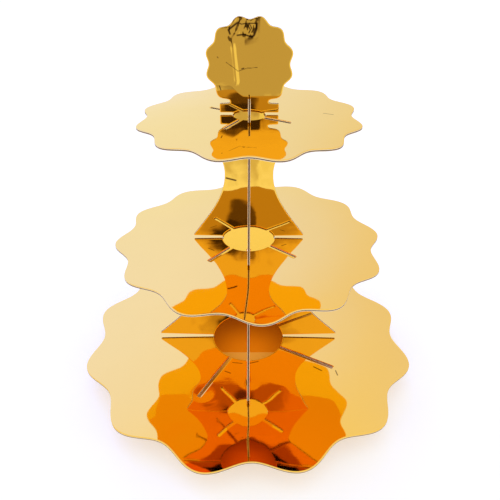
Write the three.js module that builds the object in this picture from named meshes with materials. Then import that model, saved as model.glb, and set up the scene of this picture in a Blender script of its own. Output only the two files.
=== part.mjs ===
// Three-tier cake stand, flat-packed as five boards of foil-faced corrugated card.
// Two upright panels halve into each other to make a cross-shaped column. Three scalloped trays
// drop over it, wings through their slots, and twist in its notches, where they rest on shoulders.
// Every board is a sandwich of a foil-faced liner, a fluted core and a second foil-faced liner.
// Units are millimetres, +Z is up, and the origin is on the table under the middle of the cross.

import * as THREE from 'three';

// ---- Board ----

const LINER = 0.375;
const CORE = 1.25;
const BOARD = CORE + 2 * LINER;
const SIDE_CLEARANCE = 0.3; // between a board and each wall of the slot it stands in
const HALVING_SLOT = BOARD + 2 * SIDE_CLEARANCE;
const HALVING_HEIGHT = 120; // where the two panels' slots meet
const HALVING_GAP = 0.25; // left at the end of each slot, so that both panels reach the table
const CORNER = 1; // radius of a cut corner

// ---- Trays ----

const LOBES = 12;
const VALLEY = 0.915; // radius between two lobes, as a share of the radius at a lobe's tip
const TRAY_SLOT = 3.1;

// top: height of the tray's upper face above the table; tip: radius at the lobes' tips;
// hole and slotEnd: how far the middle hole and the four slots reach; play: free height over the
// tray at the notch's inner end; lift: how much more there is at the tip of the foot above;
// turn: angle from the slots' release position to where the tray stands.
const TRAYS = [
  { name: 'bottom_tray', top: 21.25, tip: 150, hole: 33, slotEnd: 86, play: 2, lift: 1.5, turn: -29 },
  { name: 'middle_tray', top: 132.25, tip: 111, hole: 22, slotEnd: 48, play: 1.5, lift: 0.5, turn: -40 },
  { name: 'top_tray', top: 237.5, tip: 82.5, hole: 12, slotEnd: 34, play: 1.25, lift: 0, turn: -30 },
];

// ---- Upright panels ----

const NOTCH_DEPTH = 0.5; // how far a notch runs on inside the tray's hole

// One section of the column stands below each tray. Each side of it is a concave curve from the
// foot, past the waist, to the shoulder that the tray rests on. Numbers are half widths, but for
// waistHeight, which is measured up from the section's foot.
const SECTIONS = [
  { foot: 98, waist: 91, waistHeight: 9, shoulder: 102 },
  { foot: 84, waist: 48, waistHeight: 52, shoulder: 66 },
  { foot: 46.5, waist: 19.1, waistHeight: 56, shoulder: 42 },
];
const FOOT_FLARE = 0.57; // how far the lower curve's first control point stands out past the waist
const SHOULDER_FLARE = 0.58; // the same for the upper curve's last control point

// The finial is an upright scalloped disc on the front panel, above a neck and a locking tab.
const FINIAL_TIP = 31.5;
const FINIAL_HEIGHT = 272.75; // of the disc's centre above the table
const TAB = 21.6; // half width of the locking tab over the top tray
const TAB_HEIGHT = 6.5;
const CROSS_PANEL_TOP = 249.5;

// ---- Materials ----

const foil = new THREE.MeshStandardMaterial({ color: 0xf3c766, metalness: 1, roughness: 0.07 });
const flutes = new THREE.MeshStandardMaterial({ color: 0xb9a48c, metalness: 0, roughness: 0.9 });

// ---- Outlines ----

// Adds a curve from the last point of an outline through its control points. Two controls make
// a quadratic curve and three a cubic one.
function curveTo(outline, steps, ...controls) {
  const start = outline.at(-1);
  const Curve = controls.length === 2 ? THREE.QuadraticBezierCurve : THREE.CubicBezierCurve;
  outline.push(...new Curve(start, ...controls).getPoints(steps).slice(1));
}

function point(x, y) {
  return new THREE.Vector2(x, y);
}

// Distance from the middle of a scalloped disc to its edge. Lobes stand 15 degrees either side
// of the axes, so that the axes fall in the valleys between them.
function scallop(tip, angle) {
  const middle = (tip * (1 + VALLEY)) / 2;
  const wave = (tip * (1 - VALLEY)) / 2;
  return middle - wave * Math.cos(LOBES * angle);
}

function scallopArc(tip, from, to, steps) {
  return Array.from({ length: steps + 1 }, (_, i) => {
    const angle = from + ((to - from) * i) / steps;
    const radius = scallop(tip, angle);
    return point(radius * Math.cos(angle), radius * Math.sin(angle));
  });
}

// The hole and its four slots are one opening: an arc, then out and back along a slot, four times.
function trayOpening({ hole, slotEnd }) {
  const half = TRAY_SLOT / 2;
  const edge = Math.asin(half / hole);
  const opening = [];
  for (let quarter = 0; quarter < 4; quarter += 1) {
    const slot = (quarter * Math.PI) / 2;
    const turned = (x, y) => point(x, y).rotateAround(point(0, 0), slot);
    opening.push(turned(slotEnd, -half), turned(slotEnd, half));
    const arcSteps = 10;
    for (let i = 0; i <= arcSteps; i += 1) {
      const angle = edge + ((Math.PI / 2 - 2 * edge) * i) / arcSteps;
      opening.push(turned(hole * Math.cos(angle), hole * Math.sin(angle)));
    }
  }
  return new THREE.Path(opening);
}

function trayShape(tray) {
  const rim = scallopArc(tray.tip, 0, 2 * Math.PI, LOBES * 12);
  const shape = new THREE.Shape(rim.slice(0, -1));
  shape.holes.push(trayOpening(tray));
  return shape;
}

const underside = (tray) => tray.top - BOARD;
const notchTop = (tray) => tray.top + tray.play;
const footTip = (tray) => notchTop(tray) + tray.lift;
const notchEnd = (tray) => tray.hole - NOTCH_DEPTH;

// Adds the right-hand edge of a section, from its foot up to the shoulder under its tray.
function addSection(outline, section, footHeight, tray) {
  const { foot, waist, shoulder } = section;
  const waistHeight = footHeight + section.waistHeight;
  const top = underside(tray);
  const rise = waistHeight - footHeight;
  const climb = top - waistHeight;
  outline.push(point(foot - 2 * CORNER, footHeight));
  curveTo(outline, 3, point(foot, footHeight), point(foot - CORNER, footHeight + CORNER));
  curveTo(
    outline,
    9,
    point(waist + (foot - waist) * FOOT_FLARE, footHeight + rise * 0.3),
    point(waist, waistHeight - rise * 0.4),
    point(waist, waistHeight),
  );
  curveTo(
    outline,
    9,
    point(waist, waistHeight + climb * 0.35),
    point(waist + (shoulder - waist) * SHOULDER_FLARE, top - climb * 0.35),
    point(shoulder, top - CORNER),
  );
  curveTo(outline, 2, point(shoulder, top), point(shoulder - CORNER, top));
}

// The right-hand edge of a panel, from the table to the corner of its locking tab. Each tray has
// a notch between the shoulder it rests on and the foot of the section above.
function panelEdge() {
  const outline = [];
  let footHeight = 0;
  SECTIONS.forEach((section, i) => {
    const tray = TRAYS[i];
    addSection(outline, section, footHeight, tray);
    outline.push(point(notchEnd(tray), underside(tray)));
    outline.push(point(notchEnd(tray), notchTop(tray)));
    footHeight = footTip(tray);
  });
  outline.push(point(TAB - CORNER, footHeight));
  curveTo(outline, 2, point(TAB, footHeight), point(TAB, footHeight + CORNER));
  outline.push(point(TAB, footHeight + TAB_HEIGHT - CORNER));
  curveTo(
    outline,
    2,
    point(TAB, footHeight + TAB_HEIGHT),
    point(TAB - CORNER, footHeight + TAB_HEIGHT),
  );
  return outline;
}

// The neck is a hollow curve from the tab's corner up to the disc, at the valley 60 degrees
// below its middle.
const NECK_ANGLE = -Math.PI / 3;
const neckTop = point(
  scallop(FINIAL_TIP, NECK_ANGLE) * Math.cos(NECK_ANGLE),
  FINIAL_HEIGHT + scallop(FINIAL_TIP, NECK_ANGLE) * Math.sin(NECK_ANGLE),
);

function mirrored(outline) {
  return outline.map((p) => point(-p.x, p.y)).reverse();
}

function slotFromBelow(end) {
  const half = HALVING_SLOT / 2;
  return [point(-half, 0), point(-half, end), point(half, end), point(half, 0)];
}

function slotFromAbove(start, end) {
  const half = HALVING_SLOT / 2;
  return [point(half, start), point(half, end), point(-half, end), point(-half, start)];
}

function frontPanelShape() {
  const edge = panelEdge();
  const waist = point(neckTop.x - CORNER, neckTop.y - 2 * CORNER);
  curveTo(edge, 6, point(waist.x, edge.at(-1).y), waist, neckTop);
  const disc = scallopArc(FINIAL_TIP, NECK_ANGLE, Math.PI - NECK_ANGLE, (LOBES - 2) * 8);
  disc.forEach((p) => p.set(p.x, p.y + FINIAL_HEIGHT));
  const slot = slotFromBelow(HALVING_HEIGHT + HALVING_GAP);
  return new THREE.Shape([...slot, ...edge, ...disc.slice(1, -1), ...mirrored(edge)]);
}

function crossPanelShape() {
  const edge = panelEdge();
  const neck = point(neckTop.x - CORNER, CROSS_PANEL_TOP);
  curveTo(edge, 5, point(neck.x, edge.at(-1).y), neck);
  const slot = slotFromAbove(CROSS_PANEL_TOP, HALVING_HEIGHT - HALVING_GAP);
  return new THREE.Shape([...edge, ...slot, ...mirrored(edge)]);
}

// ---- Boards ----

function ply(name, shape, material, thickness, height) {
  const geometry = new THREE.ExtrudeGeometry(shape, { depth: thickness, bevelEnabled: false });
  const mesh = new THREE.Mesh(geometry, material);
  mesh.name = name;
  mesh.position.z = height;
  return mesh;
}

// A board lies flat, from its lower face at z = 0 up. Its liners are named for where they face.
function board(name, shape, lowerSide, upperSide) {
  const group = new THREE.Group();
  group.add(
    ply(`${name}_${lowerSide}_liner`, shape, foil, LINER, 0),
    ply(`${name}_flute_core`, shape, flutes, CORE, LINER),
    ply(`${name}_${upperSide}_liner`, shape, foil, LINER, LINER + CORE),
  );
  return group;
}

function trayBoard(tray) {
  const group = board(tray.name, trayShape(tray), 'under', 'top');
  group.position.z = underside(tray);
  group.rotation.z = THREE.MathUtils.degToRad(tray.turn);
  return group;
}

// Stands a board up on its lower edge, across the Y axis, with its upper face towards -Y.
function standingBoard(flatBoard) {
  flatBoard.position.y = BOARD / 2;
  flatBoard.rotation.x = Math.PI / 2;
  return flatBoard;
}

const stand = new THREE.Group();

stand.add(standingBoard(board('front_panel', frontPanelShape(), 'back', 'front')));

const acrossTheFront = new THREE.Group();
acrossTheFront.rotation.z = Math.PI / 2;
acrossTheFront.add(standingBoard(board('cross_panel', crossPanelShape(), 'left', 'right')));
stand.add(acrossTheFront);

TRAYS.forEach((tray) => stand.add(trayBoard(tray)));

export default stand;
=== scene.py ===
"""Looks of the three-tier cake stand: five boards of corrugated card with mirror-gold foil.

Each board is three plies, and each ply is a piece that stands for the CAD node of the same ply:
two foil-faced liners, pressed in where the die has cut them, and a corrugated sheet between them.
Boards are in millimetres until they become meshes, and the studio is in metres.
"""

import math

import bpy
import numpy as np
from mathutils import Matrix, Vector
from mathutils.geometry import delaunay_2d_cdt


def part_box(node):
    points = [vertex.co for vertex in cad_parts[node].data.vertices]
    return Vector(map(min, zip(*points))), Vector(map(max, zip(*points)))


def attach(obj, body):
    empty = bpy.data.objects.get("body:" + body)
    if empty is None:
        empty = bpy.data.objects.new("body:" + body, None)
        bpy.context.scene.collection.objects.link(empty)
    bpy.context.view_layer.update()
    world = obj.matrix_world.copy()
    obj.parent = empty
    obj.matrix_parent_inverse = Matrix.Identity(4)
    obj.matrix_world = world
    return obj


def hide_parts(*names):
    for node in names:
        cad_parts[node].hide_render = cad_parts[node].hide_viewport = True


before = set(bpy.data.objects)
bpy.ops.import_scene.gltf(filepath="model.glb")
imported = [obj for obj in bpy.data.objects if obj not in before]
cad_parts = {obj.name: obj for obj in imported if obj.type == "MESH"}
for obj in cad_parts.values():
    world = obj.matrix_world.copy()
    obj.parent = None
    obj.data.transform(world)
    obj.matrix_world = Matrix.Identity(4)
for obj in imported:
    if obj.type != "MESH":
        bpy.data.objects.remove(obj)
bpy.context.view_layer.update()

MM = 0.001

# ---- Board ----

LINER = 0.375
CORE = 1.25
BOARD = CORE + 2 * LINER
PAPER = 0.22  # thickness of the corrugated sheet
GLUE_GAP = 0.01  # between the sheet's crests and a liner
FLUTE_PITCH = 3.2
TRAY_PRESS = 0.3  # how far the die presses each liner of a tray in at a cut edge
PANEL_PRESS = 0.1  # and each liner of an upright panel
EDGE_WIDTH = 0.95  # how far in from the edge that begins
HALVING_SLOT = 2.6
HALVING_HEIGHT = 120.0  # where the two panels' slots meet
CORNER = 1.0  # radius of a cut corner
ALONG_X, ALONG_Y = 0, 1  # which way a board's flutes run

# ---- Trays ----

LOBES = 12
VALLEY = 0.915  # radius between two lobes, as a share of the radius at a lobe's tip
TRAY_SLOT = 3.1
NOTCH_DEPTH = 0.5  # how far a notch runs on inside the tray's hole

# tip: radius at the lobes' tips; hole and slot_end: how far the middle hole and the four slots
# reach; play: free height over the tray at the notch's inner end; lift: how much more there is at
# the tip of the foot above; turn: degrees from the slots' release position to where the tray is.
TRAYS = {
    "bottom_tray": dict(tip=150.0, hole=33.0, slot_end=86.0, play=2.0, lift=1.5, turn=-29.0),
    "middle_tray": dict(tip=111.0, hole=22.0, slot_end=48.0, play=1.5, lift=0.5, turn=-40.0),
    "top_tray": dict(tip=82.5, hole=12.0, slot_end=34.0, play=1.25, lift=0.0, turn=-30.0),
}
for tray_name, tray in TRAYS.items():
    tray["top"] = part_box(f"{tray_name}_top_liner")[1].z / MM

# A tray is flat where the column holds it and sags past that. The rim's height is a mean, then
# the cosine and sine parts that go once and twice round it. A dent is a place, a radius and a
# depth.
SAG = {
    "bottom_tray": dict(
        flat=84.0,
        rim=(-1.9, -0.7, -1.1, 0.6, -0.4),
        dents=[((-38.0, -72.0), 8.0, 0.3), ((-52.0, -112.0), 9.0, 0.3), ((2.0, -60.0), 6.0, 0.12)],
    ),
    "middle_tray": dict(flat=60.0, rim=(-1.8, -0.3, -1.2, 0.3, 1.1)),
    "top_tray": dict(flat=40.0, rim=(-1.0, 0.9, 0.9, -0.3, 0.5)),
}

# ---- Upright panels ----

# One section of the column stands below each tray. Numbers are half widths, but for
# waist_height, which is measured up from the section's foot.
SECTIONS = [
    dict(foot=98.0, waist=91.0, waist_height=9.0, shoulder=102.0),
    dict(foot=84.0, waist=48.0, waist_height=52.0, shoulder=66.0),
    dict(foot=46.5, waist=19.1, waist_height=56.0, shoulder=42.0),
]

# Where the control points of a section's lower and upper curve lie, as shares of the curve's
# width and height.
FOOT_FLARE = 0.57
FOOT_RISE = 0.3
WAIST_DROP = 0.4
WAIST_RISE = 0.35
SHOULDER_FLARE = 0.58
SHOULDER_DROP = 0.35

FINIAL_TIP = 31.5
FINIAL_HEIGHT = 272.75  # of the disc's centre above the table
TAB = 21.6  # half width of the locking tab over the top tray
TAB_HEIGHT = 6.5
CROSS_PANEL_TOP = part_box("cross_panel_flute_core")[1].z / MM

LEAN = 0.022  # slope backwards of the front panel above the middle tray
LEAN_START = 136.0  # height where it begins
LEAN_EASE = 11.0  # distance above that where three quarters of it are reached
FINIAL_LEAN = 0.07  # how much more the finial slopes
BEND = 249.5  # height at which the neck is bent
BEND_RISE = 8.5  # how much higher the bend is on the left
BEND_SLANT = (-15.0, -3.0)  # and where it comes down to the rest
BEND_EASE = 4.0  # the same distance for the finial's slope

# ---- Wrinkles of the finial ----

FOLD_RISE = 0.26  # how far the upright fold stands out
FOLD_HALF = 1.6
FOLD_FOOT = (257.0, 262.0)  # heights between which it grows
FOLD_HEAD = (283.0, 290.0)  # and between which it ends
FOLD_TOP = 288.0
FOLD_PLACE = -12.0  # x of its middle at FOLD_TOP
FOLD_SLANT = 0.1  # how far to the right that goes per millimetre down
SIDE_BACK = 0.18  # how far the right side lies back
SIDE_STEP = (7.0, 17.0)  # x where it begins to, and where it does so fully
CRUMPLE_RISE = 0.1  # of the crumpled patch at the top
CRUMPLE_FOOT = (288.0, 294.0)  # heights between which the patch begins
CRUMPLE_LEFT = (-17.0, -12.0)  # x between which it begins
CRUMPLE_RIGHT = (2.0, 6.0)  # and between which it ends

# ---- Creases ----

# Creases in the foil, painted dark as shade in their folds. Each is a half width and the points
# that the line goes through, which are (x, height) on the front panel and (x, y) on a tray.
CREASE_END = 1.6  # half widths from its line to where a crease has faded out
PANEL_CREASES = [
    (0.55, [(-13.5, 292.5), (-14.5, 295), (-9, 299), (-8, 299.5)]),
    (0.30, [(-8, 299.5), (-5.5, 298.5), (-2.5, 299), (5, 299)]),
    (0.65, [(5, 299), (4.5, 295), (3, 291.5), (1.5, 290.5)]),
    (0.45, [(1.5, 290.5), (-4, 292), (-8.5, 291.5)]),
    (0.35, [(-1, 297.5), (0.5, 295), (-0.5, 293)]),
    (0.30, [(0.5, 298), (1.5, 295.5)]),
    (0.15, [(-16.5, 274), (-12, 271), (-8, 268), (-1.5, 270), (5.5, 270.5)]),
    (0.25, [(-22.5, 277.5), (-22, 277)]),
    (0.30, [(-5.5, 269.5), (-4, 270)]),
    (0.30, [(-21.5, 258), (-20.5, 255)]),
    (0.60, [(-18, 186.5), (-10.5, 184.5)]),
]
TRAY_CREASES = {
    "bottom_tray": [
        (0.35, [(-20.5, -46.5), (-15.5, -49)]),
        (0.45, [(58.5, -41), (65, -45.5)]),
        (0.35, [(77.5, -45.5), (78.5, -51)]),
        (0.30, [(-14, -36), (-5.5, -37)]),
        (0.35, [(1, -37), (9, -34.5)]),
    ],
    "middle_tray": [(0.30, [(-33, -18), (-28, -21.5)]), (0.30, [(27, -14), (31, -11.5)])],
    "top_tray": [(0.30, [(55, 4), (62, 1)])],
}

# ---- Fineness of the meshes ----

LINER_STEP = 1.0  # about the longest side on a liner's outline
CORE_STEP = 1.2  # and on a corrugated sheet's
EDGE_RINGS = (0.35, 0.7, 1.0)  # shares of the edge's width where a liner has a ring of points
TRAY_GRID = 3.5
PANEL_GRID = 3.0
FINIAL_GRID = 0.55
FINE_FROM = 243.0  # height on the front panel where the finial's grid begins
CREASE_GRID = 0.45
CREASE_MARGIN = 1.2  # how far from a crease its grid reaches
FLUTE_STEPS = 8  # strips per flute
FLUTE_SEGMENT = 24.0  # length of a strip's pieces along the flute
LOBE_STEPS = 48  # round each lobe of a tray
FINIAL_LOBE_STEPS = 32
HOLE_POINTS = 40  # on each quarter of a tray's hole
SIDE_STEPS = 32  # along each of the two curves of a section's side
NECK_STEPS = 16
FOOT_STEPS = 6  # round the corner of a foot
CORNER_STEPS = 5  # round any other corner

# ---------------------------------------------------------------- outlines


def curve(steps, *controls):
    """Points of a Bezier curve through its end controls, without the first."""
    t = np.linspace(0, 1, steps + 1)[1:, None]
    degree = len(controls) - 1
    terms = (
        math.comb(degree, i) * (1 - t) ** (degree - i) * t**i * np.array(control)
        for i, control in enumerate(controls)
    )
    return [tuple(p) for p in sum(terms)]


def scallop(tip, angle):
    """Radius of a scalloped disc. The axes fall in the valleys between its lobes."""
    middle = tip * (1 + VALLEY) / 2
    wave = tip * (1 - VALLEY) / 2
    return middle - wave * np.cos(LOBES * angle)


def scallop_arc(tip, start, end, steps):
    angle = np.linspace(start, end, steps + 1)
    radius = scallop(tip, angle)
    return np.column_stack([radius * np.cos(angle), radius * np.sin(angle)])


def turned(points, angle):
    c, s = math.cos(angle), math.sin(angle)
    return np.asarray(points) @ np.array([[c, s], [-s, c]])


def tray_outline(tray):
    """The scalloped rim, and the opening made of the hole and its four slots."""
    rim = scallop_arc(tray["tip"], 0, 2 * math.pi, LOBES * LOBE_STEPS)[:-1]
    half = TRAY_SLOT / 2
    edge = math.asin(half / tray["hole"])
    arc = np.linspace(edge, math.pi / 2 - edge, HOLE_POINTS)
    slot = [(tray["slot_end"], -half), (tray["slot_end"], half)]
    quarter = np.vstack([slot, tray["hole"] * np.column_stack([np.cos(arc), np.sin(arc)])])
    opening = np.vstack([turned(quarter, k * math.pi / 2) for k in range(4)])
    turn = math.radians(tray["turn"])
    return [turned(rim, turn), turned(opening, turn)]


def section_edge(section, foot_height, tray):
    """The right-hand edge of one section of the column, up to the shoulder under its tray."""
    foot, waist, shoulder = section["foot"], section["waist"], section["shoulder"]
    middle = foot_height + section["waist_height"]
    top = tray["top"] - BOARD
    rise = middle - foot_height
    climb = top - middle
    edge = [(foot - 2 * CORNER, foot_height)]
    edge += curve(FOOT_STEPS, edge[-1], (foot, foot_height), (foot - CORNER, foot_height + CORNER))
    edge += curve(
        SIDE_STEPS,
        edge[-1],
        (waist + (foot - waist) * FOOT_FLARE, foot_height + rise * FOOT_RISE),
        (waist, middle - rise * WAIST_DROP),
        (waist, middle),
    )
    edge += curve(
        SIDE_STEPS,
        edge[-1],
        (waist, middle + climb * WAIST_RISE),
        (waist + (shoulder - waist) * SHOULDER_FLARE, top - climb * SHOULDER_DROP),
        (shoulder, top - CORNER),
    )
    edge += curve(CORNER_STEPS, edge[-1], (shoulder, top), (shoulder - CORNER, top))
    return edge


def panel_edge():
    """The right-hand edge of a panel, from the table to the corner of its locking tab."""
    edge = []
    foot_height = 0.0
    for section, tray in zip(SECTIONS, TRAYS.values()):
        notch = tray["hole"] - NOTCH_DEPTH
        notch_top = tray["top"] + tray["play"]
        edge += section_edge(section, foot_height, tray)
        edge += [(notch, tray["top"] - BOARD), (notch, notch_top)]
        foot_height = notch_top + tray["lift"]
    tab_top = foot_height + TAB_HEIGHT
    edge.append((TAB - CORNER, foot_height))
    edge += curve(CORNER_STEPS, edge[-1], (TAB, foot_height), (TAB, foot_height + CORNER))
    edge.append((TAB, tab_top - CORNER))
    edge += curve(CORNER_STEPS, edge[-1], (TAB, tab_top), (TAB - CORNER, tab_top))
    return edge


NECK_ANGLE = -math.pi / 3
NECK_RADIUS = scallop(FINIAL_TIP, NECK_ANGLE)
NECK_TOP = (
    NECK_RADIUS * math.cos(NECK_ANGLE),
    FINIAL_HEIGHT + NECK_RADIUS * math.sin(NECK_ANGLE),
)


def mirrored(points):
    return [(-x, y) for x, y in reversed(points)]


def front_panel_outline():
    edge = panel_edge()
    waist = (NECK_TOP[0] - CORNER, NECK_TOP[1] - 2 * CORNER)
    edge += curve(NECK_STEPS, edge[-1], (waist[0], edge[-1][1]), waist, NECK_TOP)
    steps = (LOBES - 2) * FINIAL_LOBE_STEPS
    disc = scallop_arc(FINIAL_TIP, NECK_ANGLE, math.pi - NECK_ANGLE, steps)
    disc[:, 1] += FINIAL_HEIGHT
    half = HALVING_SLOT / 2
    slot = [(-half, 0), (-half, HALVING_HEIGHT), (half, HALVING_HEIGHT), (half, 0)]
    return [np.array(slot + edge + [tuple(p) for p in disc[1:-1]] + mirrored(edge))]


def cross_panel_outline():
    edge = panel_edge()
    neck = (NECK_TOP[0] - CORNER, CROSS_PANEL_TOP)
    edge += curve(NECK_STEPS, edge[-1], (neck[0], edge[-1][1]), neck)
    half = HALVING_SLOT / 2
    top = CROSS_PANEL_TOP
    slot = [(half, top), (half, HALVING_HEIGHT), (-half, HALVING_HEIGHT), (-half, top)]
    return [np.array(edge + slot + mirrored(edge))]


# ---------------------------------------------------------------- flat meshes


def even_steps(loop, step):
    """The closed loop with its long sides broken into pieces of about that length."""
    points = []
    for a, b in zip(loop, np.roll(loop, -1, axis=0)):
        pieces = max(1, round(np.linalg.norm(b - a) / step))
        points += [a + (b - a) * i / pieces for i in range(pieces)]
    return np.array(points)


def inside(points, loops):
    """Which points lie within the outline, by the even-odd rule."""
    x, y = points.T
    odd = np.zeros(len(points), bool)
    for loop in loops:
        for (ax, ay), (bx, by) in zip(loop, np.roll(loop, -1, axis=0)):
            if ay == by:
                continue
            crosses = (ay > y) != (by > y)
            odd ^= crosses & (x < ax + (bx - ax) * (y - ay) / (by - ay))
    return odd


def nearest_corner(points, corners, batch=256):
    """Distance from each point to the nearest corner of the outline, and which corner it is."""
    distance = np.full(len(points), np.inf)
    which = np.zeros(len(points), int)
    for start in range(0, len(corners), batch):
        gap = points[:, None] - corners[None, start : start + batch]
        square = (gap**2).sum(2)
        best = square.argmin(1)
        found = np.sqrt(square[np.arange(len(points)), best])
        closer = found < distance
        distance[closer] = found[closer]
        which[closer] = best[closer] + start
    return distance, which


def outward(loops, probe=0.01):
    """A unit vector out of the material at each corner of the outline."""
    result = []
    for loop in loops:
        ahead = np.roll(loop, -1, axis=0) - np.roll(loop, 1, axis=0)
        side = np.column_stack([ahead[:, 1], -ahead[:, 0]])
        side /= np.linalg.norm(side, axis=1)[:, None]
        mostly_inside = inside(loop + side * probe, loops).mean() > 0.5
        result.append(-side if mostly_inside else side)
    return np.vstack(result)


def triangulate(points, edges, loops, same_point=1e-7, no_area=1e-9):
    """Triangles of the outline that hold all the points and keep the edges whole."""
    result = delaunay_2d_cdt([Vector(p) for p in points], edges, [], 0, same_point)
    flat = np.array([tuple(p) for p in result[0]])
    triangles = np.array(result[2])
    within = inside(flat[triangles].mean(1), loops)
    triangles = triangles[within]
    a, b, c = (flat[triangles[:, i]] for i in range(3))
    area = np.cross(b - a, c - a)
    triangles[area < 0] = triangles[area < 0][:, ::-1]
    triangles = triangles[np.abs(area) > no_area]
    used, triangles = np.unique(triangles, return_inverse=True)
    return flat[used], triangles.reshape(-1, 3)


def loop_edges(loops):
    edges = []
    start = 0
    for loop in loops:
        count = len(loop)
        edges += [(start + i, start + (i + 1) % count) for i in range(count)]
        start += count
    return edges


def grid(low, high, step):
    """Points of a hexagonal grid over a box."""
    rows = np.arange(low[1], high[1], step * math.sqrt(3) / 2)
    columns = np.arange(low[0], high[0], step)
    return np.array([(x + step / 2 * (j % 2), y) for j, y in enumerate(rows) for x in columns])


def liner_mesh(loops, grids):
    """A fine flat mesh, with how near the cut edge each point is and which way out the edge lies.

    grids lists a spacing and a test that says which points the grid of that spacing serves.
    """
    loops = [even_steps(loop, LINER_STEP) for loop in loops]
    outline = np.vstack(loops)
    out = outward(loops)
    points = [outline]
    for share in EDGE_RINGS:
        # Where a ring comes too near another stretch of the outline, it is left out.
        width = EDGE_WIDTH * share
        ring = outline - out * width
        distance, _ = nearest_corner(ring, outline)
        points.append(ring[(distance > 0.9 * width) & inside(ring, loops)])
    for spacing, served in grids:
        nodes = grid(outline.min(0), outline.max(0), spacing)
        nodes = nodes[served(nodes)]
        nodes = nodes[inside(nodes, loops)]
        distance, _ = nearest_corner(nodes, outline)
        points.append(nodes[distance > EDGE_WIDTH + 0.4 * spacing])
    flat, triangles = triangulate(np.vstack(points), loop_edges(loops), loops)
    distance, which = nearest_corner(flat, outline)
    return flat, triangles, np.clip(1 - distance / EDGE_WIDTH, 0, 1), out[which]


def core_mesh(loops, along):
    """A flat mesh in narrow strips along the flutes, cut off at the outline."""
    loops = [even_steps(loop, CORE_STEP) for loop in loops]
    outline = np.vstack(loops)
    low, high = outline.min(0) - 1, outline.max(0) + 1
    edges = loop_edges(loops)
    points = [outline]
    count = len(outline)
    stations = max(2, math.ceil((high[along] - low[along]) / FLUTE_SEGMENT)) + 1
    across = 1 - along
    width = FLUTE_PITCH / FLUTE_STEPS
    lines = np.arange(math.ceil(low[across] / width), math.floor(high[across] / width) + 1) * width
    for position in lines:
        line = np.empty((stations, 2))
        line[:, along] = np.linspace(low[along], high[along], stations)
        line[:, across] = position
        points.append(line)
        edges += [(count + i, count + i + 1) for i in range(stations - 1)]
        count += stations
    return triangulate(np.vstack(points), edges, loops)


# ---------------------------------------------------------------- pieces


def boundary(triangles):
    """Directed edges that only one triangle uses."""
    sides = np.vstack([triangles[:, [0, 1]], triangles[:, [1, 2]], triangles[:, [2, 0]]])
    key = np.sort(sides, axis=1)
    _, index, counts = np.unique(key, axis=0, return_index=True, return_counts=True)
    return sides[index[counts == 1]]


def slopes(height, points, step=0.05):
    """Gradient of a height function at each point."""
    dx = (height(points + (step, 0)) - height(points - (step, 0))) / (2 * step)
    dy = (height(points + (0, step)) - height(points - (0, step))) / (2 * step)
    return np.column_stack([dx, dy])


def sheet_mesh(name, flat, triangles, low, high, place, materials):
    """A closed sheet between two sets of heights over a flat mesh."""
    count = len(flat)
    points = np.vstack([np.column_stack([flat, low]), np.column_stack([flat, high])])
    sides = boundary(triangles)
    walls = np.column_stack([sides[:, 0], sides[:, 1], sides[:, 1] + count, sides[:, 0] + count])
    faces = [*triangles[:, ::-1].tolist(), *(triangles + count).tolist(), *walls.tolist()]
    turn = np.array(place.to_3x3())
    moved = (points @ turn.T + np.array(place.translation)) * MM
    mesh = bpy.data.meshes.new(name)
    mesh.from_pydata(moved.tolist(), [], faces)
    for material in materials:
        mesh.materials.append(material)
    smooth = np.zeros(len(faces), bool)
    smooth[: 2 * len(triangles)] = True
    mesh.polygons.foreach_set("use_smooth", smooth)
    return mesh


def liner(name, surface, height, upper, press, place, foil):
    """A foil-faced liner whose foil lies at the given height, facing up or down.

    Towards a cut edge it is pressed into the board. The foil gets its normals from the height
    function, so that its reflections are as smooth as the surface.
    """
    flat, triangles, near, out = surface
    count = len(flat)
    side = 1 if upper else -1
    face = height(flat) - side * press * near**2
    back = face - side * LINER
    low, high = (back, face) if upper else (face, back)
    mesh = sheet_mesh(name, flat, triangles, low, high, place, [foil, liner_paper])
    area = len(triangles)
    foil_faces = slice(area, 2 * area) if upper else slice(0, area)
    material_index = np.ones(len(mesh.polygons), np.int32)
    material_index[foil_faces] = 0
    mesh.polygons.foreach_set("material_index", material_index)

    edge_slope = out * (2 * press / EDGE_WIDTH * near)[:, None]
    normal = np.column_stack([edge_slope - side * slopes(height, flat), np.full(count, side)])
    normal /= np.linalg.norm(normal, axis=1)[:, None]
    world = normal @ np.array(place.to_3x3()).T
    vertex = np.empty(len(mesh.loops), np.int32)
    mesh.loops.foreach_get("vertex_index", vertex)
    normals = np.zeros((len(mesh.loops), 3))  # zero leaves a corner's normal to Blender
    foil_corners = slice(3 * foil_faces.start, 3 * foil_faces.stop)
    normals[foil_corners] = world[vertex[foil_corners] % count]
    mesh.normals_split_custom_set(normals)
    return mesh


def distance_to_line(points, line):
    """Distance from each point to a line through several corners."""
    nearest = np.full(len(points), np.inf)
    for a, b in zip(np.array(line[:-1], float), np.array(line[1:], float)):
        along = np.clip((points - a) @ (b - a) / ((b - a) @ (b - a)), 0, 1)
        gap = points - a - along[:, None] * (b - a)
        nearest = np.minimum(nearest, np.hypot(*gap.T))
    return nearest


def add_creases(mesh, flat, creases):
    """Marks how much painted shade the foil has along its creases at each point of a liner."""
    crease_shade = np.zeros(len(flat))
    for half_width, line in creases:
        mark = CREASE_END - distance_to_line(flat, line) / half_width
        crease_shade = np.maximum(crease_shade, np.clip(mark, 0, 1))
    layer = mesh.attributes.new("crease", "FLOAT", "POINT")
    layer.data.foreach_set("value", np.tile(crease_shade, 2))


def add_piece(mesh, body, node):
    """Shows the mesh in place of a CAD node, moving with that node's body."""
    piece = bpy.data.objects.new(mesh.name, mesh)
    bpy.context.scene.collection.objects.link(piece)
    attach(piece, body)
    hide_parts(node)
    return piece


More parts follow.
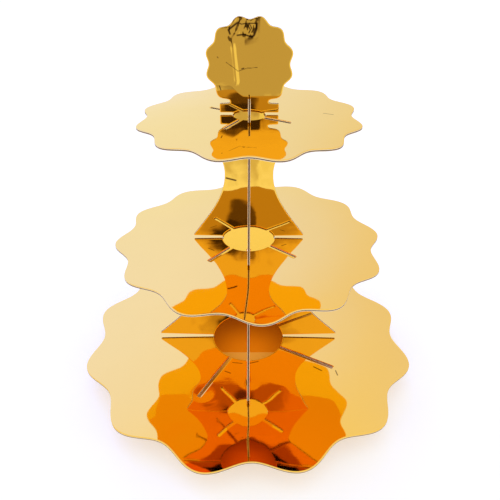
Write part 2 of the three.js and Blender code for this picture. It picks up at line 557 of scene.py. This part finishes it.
def board(name, body, loops, sides, foils, place, warp, grids, slot, press, flutes, creases=()):
    """The three plies of one board, lying on z = 0 before place puts it where it belongs.

    sides and foils give the lower liner first. warp is the height of the board's lower face.
    creases are in the foil of the upper liner.
    """

    def beside_a_crease(p):
        return np.any([distance_to_line(p, line) < CREASE_MARGIN for _, line in creases], axis=0)

    if creases:
        grids = [*grids, (CREASE_GRID, beside_a_crease)]
    surface = liner_mesh(loops, grids)
    heights = [warp, lambda p: warp(p) + BOARD]
    for upper, (side, foil, height) in enumerate(zip(sides, foils, heights)):
        mesh = liner(f"{name}_{side}_foil", surface, height, upper, press, place, foil)
        add_creases(mesh, surface[0], creases if upper else ())
        add_piece(mesh, body, f"{name}_{side}_liner")

    flat, triangles = core_mesh(loops, flutes)
    swing = np.full(len(flat), (CORE - PAPER) / 2 - GLUE_GAP)
    swing[np.unique(boundary(triangles))] -= press
    wave = np.sin(2 * math.pi * flat[:, 1 - flutes] / FLUTE_PITCH)
    middle = warp(flat) + BOARD / 2 + swing * wave
    low, high = middle - PAPER / 2, middle + PAPER / 2
    mesh = sheet_mesh(f"{name}_corrugation", flat, triangles, low, high, place, [flute_paper])
    add_piece(mesh, body, f"{name}_flute_core")


# ---------------------------------------------------------------- shader nodes


def feed(tree, node, inputs):
    """Sets a node's inputs, each to a constant or to another node's output."""
    for name, value in inputs.items():
        if isinstance(value, bpy.types.NodeSocket):
            tree.links.new(value, node.inputs[name])
        else:
            node.inputs[name].default_value = value


def add_node(tree, kind, inputs=None, **settings):
    """Adds a node with those settings, and then feeds it."""
    node = tree.nodes.new(kind)
    for name, value in settings.items():
        setattr(node, name, value)
    feed(tree, node, inputs or {})
    return node


def object_place(tree):
    """The point on the surface, in metres, in the object's own frame."""
    return add_node(tree, "ShaderNodeTexCoord").outputs["Object"]


def noise(tree, place, scale, detail):
    inputs = {"Vector": place, "Scale": scale, "Detail": detail}
    return add_node(tree, "ShaderNodeTexNoise", inputs).outputs["Fac"]


def calculated(tree, operation, *values):
    node = add_node(tree, "ShaderNodeMath", dict(enumerate(values)), operation=operation)
    return node.outputs["Value"]


def length(tree, vector):
    node = add_node(tree, "ShaderNodeVectorMath", {0: vector}, operation="LENGTH")
    return node.outputs["Value"]


def between(tree, value, start, end):
    """Eases from 0 to 1 as value goes from start to end."""
    inputs = {"Value": value, "From Min": start, "From Max": end}
    node = add_node(tree, "ShaderNodeMapRange", inputs, interpolation_type="SMOOTHSTEP")
    return node.outputs["Result"]


def mixed(tree, factor, *colors):
    """A colour that goes from the first to the second as factor goes from 0 to 1."""
    a, b = (c if isinstance(c, bpy.types.NodeSocket) else (*c, 1) for c in colors)
    inputs = {"Factor": factor, "A": a, "B": b}
    return add_node(tree, "ShaderNodeMix", inputs, data_type="RGBA").outputs["Result"]


def bump(tree, inputs):
    return add_node(tree, "ShaderNodeBump", inputs).outputs["Normal"]


# ---------------------------------------------------------------- materials

FOIL_GLANCE = (1.0, 0.92, 0.55, 1)  # the foil's colour at a glancing angle, against plain metal
FOIL_ROUGHNESS = (0.025, 0.04)
# colour of the painted shade in the foil's creases
CREASE_SHADE = (0.10, 0.045, 0.012)
WAVE_HEIGHT = 0.00025  # of the board's gentle waves, in metres
HAIRLINE_DEPTH = 0.0001
FIBRE_HEIGHT = 0.0001


def new_material(name):
    material = bpy.data.materials.new(name)
    material.use_nodes = True
    return material, material.node_tree, material.node_tree.nodes["Principled BSDF"]


def foil_material(name, color):
    """Metallised film over paper: a mirror with faint mottling and painted shade along its
    creases.
    """
    material, tree, shader = new_material(name)
    place = object_place(tree)
    mottle = noise(tree, place, scale=28.0, detail=4.0)
    tone = mixed(tree, mottle, [0.97 * c for c in color], color)
    crease = add_node(tree, "ShaderNodeAttribute", attribute_name="crease")
    smooth, hazy = FOIL_ROUGHNESS
    limits = {"From Min": 0.3, "From Max": 0.8, "To Min": smooth, "To Max": hazy}
    haze = add_node(tree, "ShaderNodeMapRange", {"Value": mottle, **limits})

    waves = noise(tree, place, scale=30.0, detail=1.0)
    wavy = bump(tree, {"Height": waves, "Strength": 1.0, "Distance": WAVE_HEIGHT})
    stretch = {"Rotation": (0.3, 0.2, 0.6), "Scale": (40, 900, 900)}
    stretched = add_node(tree, "ShaderNodeMapping", {"Vector": place, **stretch})
    hairlines = noise(tree, stretched.outputs["Vector"], scale=1.0, detail=2.0)
    depth = {"Strength": 0.02, "Distance": HAIRLINE_DEPTH}
    scratched = bump(tree, {"Height": hairlines, "Normal": wavy, **depth})

    inputs = {
        "Metallic": 1.0,
        "Specular Tint": FOIL_GLANCE,
        # painted shade darkens the foil along its creases
        "Base Color": mixed(tree, crease.outputs["Fac"], tone, CREASE_SHADE),
        "Roughness": haze.outputs["Result"],
        "Normal": scratched,
    }
    feed(tree, shader, inputs)
    return material


def paper_material(name, color, fibre_scale):
    """Uncoated paper: fibres lighter and darker than its colour, and a rough surface."""
    material, tree, shader = new_material(name)
    fibres = noise(tree, object_place(tree), fibre_scale, detail=6.0)
    inputs = {
        "Base Color": mixed(tree, fibres, [0.75 * c for c in color], color),
        "Roughness": 0.85,
        "Normal": bump(tree, {"Height": fibres, "Strength": 0.4, "Distance": FIBRE_HEIGHT}),
    }
    feed(tree, shader, inputs)
    return material


top_foil = foil_material("gold_foil_tray_top", (0.965, 0.60, 0.11))
under_foil = foil_material("gold_foil_tray_under", (0.965, 0.56, 0.015))
column_foil = foil_material("gold_foil_column", (0.965, 0.60, 0.08))
liner_paper = paper_material("liner_paper", (0.98, 0.80, 0.52), 2500.0)
flute_paper = paper_material("flute_paper", (0.20, 0.10, 0.05), 1800.0)

# ---------------------------------------------------------------- trays


def everywhere(p):
    return np.ones(len(p), bool)


def sagging(tip, flat, rim, dents=()):
    """A height function for a tray that is level out to the radius flat and sags to its rim."""
    mean, cos1, sin1, cos2, sin2 = rim

    def height(p):
        x, y = p.T
        angle = np.arctan2(y, x)
        out = np.clip((np.hypot(x, y) - flat) / (tip - flat), 0, None)
        once = cos1 * np.cos(angle) + sin1 * np.sin(angle)
        twice = cos2 * np.cos(2 * angle) + sin2 * np.sin(2 * angle)
        sunk = sum(d * np.exp(-((p - c) ** 2).sum(1) / r**2) for c, r, d in dents)
        return out**2 * (mean + once + twice) - sunk

    return height


for tray_name, tray in TRAYS.items():
    board(
        tray_name,
        body=tray_name,
        loops=tray_outline(tray),
        sides=("under", "top"),
        foils=(under_foil, top_foil),
        place=Matrix.Translation((0, 0, tray["top"] - BOARD)),
        warp=sagging(tray["tip"], **SAG[tray_name]),
        grids=[(TRAY_GRID, everywhere)],
        slot="tray_foil",
        press=TRAY_PRESS,
        flutes=ALONG_X,
        creases=TRAY_CREASES[tray_name],
    )

# ---------------------------------------------------------------- column


def ramp(distance, ease):
    """Rises from 0 and eases into a slope of 1."""
    beyond = np.clip(distance, 0, None)
    return beyond**2 / (beyond + ease)


def ease_between(value, start, end):
    t = np.clip((value - start) / (end - start), 0, 1)
    return t * t * (3 - 2 * t)


def wrinkles(x, height):
    """Folds and dents of the finial, which has been handled more than the rest."""
    from_fold = (x - FOLD_PLACE - (FOLD_TOP - height) * FOLD_SLANT) / FOLD_HALF
    fold = FOLD_RISE * np.exp(-(from_fold**2))
    fold *= ease_between(height, *FOLD_FOOT) * (1 - ease_between(height, *FOLD_HEAD))
    right = SIDE_BACK * ease_between(x, *SIDE_STEP)
    crumpled = ease_between(height, *CRUMPLE_FOOT) * ease_between(x, *CRUMPLE_LEFT)
    crumpled *= 1 - ease_between(x, *CRUMPLE_RIGHT)
    dents = np.sin(0.7 * x + 0.2 * height) * np.sin(0.6 * height - 0.3 * x)
    return fold - right + CRUMPLE_RISE * crumpled * dents


def front_panel_warp(p):
    """How far the front panel stands forward of a flat one."""
    x, height = p.T
    lean = LEAN * ramp(height - LEAN_START, LEAN_EASE)
    bend = BEND + BEND_RISE * (1 - ease_between(x, *BEND_SLANT))
    finial = FINIAL_LEAN * ramp(height - bend, BEND_EASE)
    return wrinkles(x, height) - lean - finial


def straight(p):
    return np.zeros(len(p))


def on_finial(p):
    return p[:, 1] > FINE_FROM


def below_finial(p):
    return p[:, 1] <= FINE_FROM


# Stands a board up on its lower edge, across the Y axis, with its upper face towards -Y.
upright = Matrix.Translation((0, BOARD / 2, 0)) @ Matrix.Rotation(math.pi / 2, 4, "X")
column_look = dict(
    body="column",
    foils=(column_foil, column_foil),
    slot="column_foil",
    press=PANEL_PRESS,
    flutes=ALONG_Y,
)
board(
    "front_panel",
    loops=front_panel_outline(),
    sides=("back", "front"),
    place=upright,
    warp=front_panel_warp,
    grids=[(PANEL_GRID, below_finial), (FINIAL_GRID, on_finial)],
    creases=PANEL_CREASES,
    **column_look,
)
board(
    "cross_panel",
    loops=cross_panel_outline(),
    sides=("left", "right"),
    place=Matrix.Rotation(math.pi / 2, 4, "Z") @ upright,
    warp=straight,
    grids=[(PANEL_GRID, everywhere)],
    **column_look,
)

# ---------------------------------------------------------------- floor

FLOOR_SIZE = 12.0
UNDER_HOLE = (0.005, 0.055)  # radii between which the light through the tray's hole fades
UNDER_STAND = (0.06, 0.12)  # and where the paper under the stand turns white
SHADED_PAPER = (0.25, 0.20, 0.12)
WHITE_PAPER = (0.60, 0.60, 0.60)
HOLE_GLOW = (0.60, 0.22, 0.02)
TRAY_GLOW = (0.20, 0.055, 0.004)
PAPER_GLOW = (0.46, 0.46, 0.46)


def floor_material():
    """Seamless white paper.

    A glow keeps the shadows on it pale, as in a cut-out catalogue picture, and stands for the
    gold light that falls through the bottom tray's hole.
    """
    material, tree, shader = new_material("white_floor")
    radius = length(tree, object_place(tree))
    outside = between(tree, radius, *UNDER_STAND)
    gold = mixed(tree, between(tree, radius, *UNDER_HOLE), HOLE_GLOW, TRAY_GLOW)
    inputs = {
        "Base Color": mixed(tree, outside, SHADED_PAPER, WHITE_PAPER),
        "Roughness": 1.0,
        "Specular IOR Level": 0.0,
        "Emission Color": mixed(tree, outside, gold, PAPER_GLOW),
        "Emission Strength": 1.0,
    }
    feed(tree, shader, inputs)
    return material


bpy.ops.mesh.primitive_plane_add(size=FLOOR_SIZE)
floor = bpy.context.object
floor.name = "floor"
floor.data.materials.append(floor_material())

# ---------------------------------------------------------------- light

WHITE = (1.0, 1.0, 1.0)

# Soft zones of the studio's light: direction, half angles where the zone is full and where it
# ends, and the colour that it adds to the even white.
ZONES = [
    ((-0.45, 0.75, 0.35), 10, 50, (-0.05, 0.20, 2.6)),
    ((0.55, 0.75, 0.35), 10, 45, (-0.10, -0.06, 0.6)),
]


def studio_world():
    """Even white light with the zones' colours added to it."""
    world = bpy.data.worlds.new("studio")
    world.use_nodes = True
    tree = world.node_tree
    direction = add_node(tree, "ShaderNodeTexCoord").outputs["Generated"]
    color = WHITE
    for axis, full, end, gain in ZONES:
        inputs = {0: direction, 1: Vector(axis).normalized()}
        toward = add_node(tree, "ShaderNodeVectorMath", inputs, operation="DOT_PRODUCT")
        limits = (math.cos(math.radians(angle)) for angle in (end, full))
        inputs = {0: gain, "Scale": between(tree, toward.outputs["Value"], *limits)}
        zone = add_node(tree, "ShaderNodeVectorMath", inputs, operation="SCALE")
        inputs = {0: color, 1: zone.outputs["Vector"]}
        color = add_node(tree, "ShaderNodeVectorMath", inputs, operation="ADD").outputs["Vector"]
    feed(tree, tree.nodes["Background"], {"Color": color, "Strength": 1.0})
    return world


bpy.context.scene.world = studio_world()

# ---------------------------------------------------------------- photographer

# A card behind the camera that only reflections see. Each dark patch on it has a centre, half
# sizes across and up, and how much darker it is.
CARD_SIZE = (0.5, 0.6)
CARD_PLACE = Vector((0.0, -0.41, 0.28))
CARD_HALF = (0.23, 0.26)  # half sizes of what shows of the card
CARD_TONE = 0.95
CARD_DARKEST = 0.05
CARD_DARK_TINT = (1.0, 0.72, 0.6)
CARD_PATCHES = [
    ((0.0, 0.01), (0.095, 0.15), 0.38),
    ((-0.03, -0.20), (0.06, 0.08), 0.22),
    ((-0.014, 0.110), (0.048, 0.050), 0.55),
    ((-0.010, 0.060), (0.026, 0.055), 0.44),
]
RAGGEDNESS = 0.9  # how far the noise moves a patch's edge, as a share of its half size
PATCH_EDGE = (1.65, 1.25)  # distance and noise together where a patch begins and where it is full


def card_material():
    """A pale glow with dark patches, clear outside the part of the card that shows."""
    material = bpy.data.materials.new("photographer")
    material.use_nodes = True
    tree = material.node_tree
    tree.nodes.clear()
    place = object_place(tree)
    ragged = noise(tree, place, scale=40.0, detail=5.0)

    def patch(centre, half):
        """1 inside an ellipse and 0 outside it, with a ragged edge."""
        (x, z), (half_x, half_z) = centre, half
        ellipse = {"Location": (-x / half_x, 0, -z / half_z), "Scale": (1 / half_x, 0, 1 / half_z)}
        moved = add_node(tree, "ShaderNodeMapping", {"Vector": place, **ellipse})
        distance = length(tree, moved.outputs["Vector"])
        uneven = calculated(tree, "MULTIPLY_ADD", ragged, RAGGEDNESS, distance)
        return between(tree, uneven, *PATCH_EDGE)

    tone = CARD_TONE
    for centre, half, darker in CARD_PATCHES:
        tone = calculated(tree, "MULTIPLY_ADD", patch(centre, half), -darker, tone)
    tone = calculated(tree, "MAXIMUM", tone, CARD_DARKEST)
    color = mixed(tree, tone, CARD_DARK_TINT, WHITE)
    glow = add_node(tree, "ShaderNodeEmission", {"Color": color, "Strength": tone})
    clear = add_node(tree, "ShaderNodeBsdfTransparent")
    inputs = {0: patch((0, 0), CARD_HALF), 1: clear.outputs["BSDF"], 2: glow.outputs["Emission"]}
    mix = add_node(tree, "ShaderNodeMixShader", inputs)
    add_node(tree, "ShaderNodeOutputMaterial", {"Surface": mix.outputs["Shader"]})
    return material


bpy.ops.mesh.primitive_plane_add(size=1)
photographer = bpy.context.object
photographer.name = "photographer"
photographer.data.transform(Matrix.Diagonal((*CARD_SIZE, 1, 1)))
photographer.data.transform(Matrix.Rotation(math.pi / 2, 4, "X"))
photographer.location = CARD_PLACE
photographer.data.materials.append(card_material())
photographer.visible_camera = False
photographer.visible_diffuse = False
photographer.visible_shadow = False

# ---------------------------------------------------------------- camera

CAMERA_PLACE = Vector((-0.00066, -0.37725, 0.36307))
CAMERA_PITCH = math.radians(32.91)  # below the horizon
CAMERA_YAW = -0.0048
CAMERA_ROLL = 0.0061
LENS = 37.69
SENSOR = 36.0
CLIP_START = 0.01

camera_data = bpy.data.cameras.new("camera")
camera_data.lens = LENS
camera_data.sensor_width = SENSOR
camera_data.clip_start = CLIP_START
camera = bpy.data.objects.new("camera", camera_data)
camera.matrix_world = (
    Matrix.Translation(CAMERA_PLACE)
    @ Matrix.Rotation(CAMERA_YAW, 4, "Z")
    @ Matrix.Rotation(math.pi / 2 - CAMERA_PITCH, 4, "X")
    @ Matrix.Rotation(CAMERA_ROLL, 4, "Z")
)
bpy.context.scene.collection.objects.link(camera)
bpy.context.scene.camera = camera
bpy.context.scene.view_settings.view_transform = "Standard"
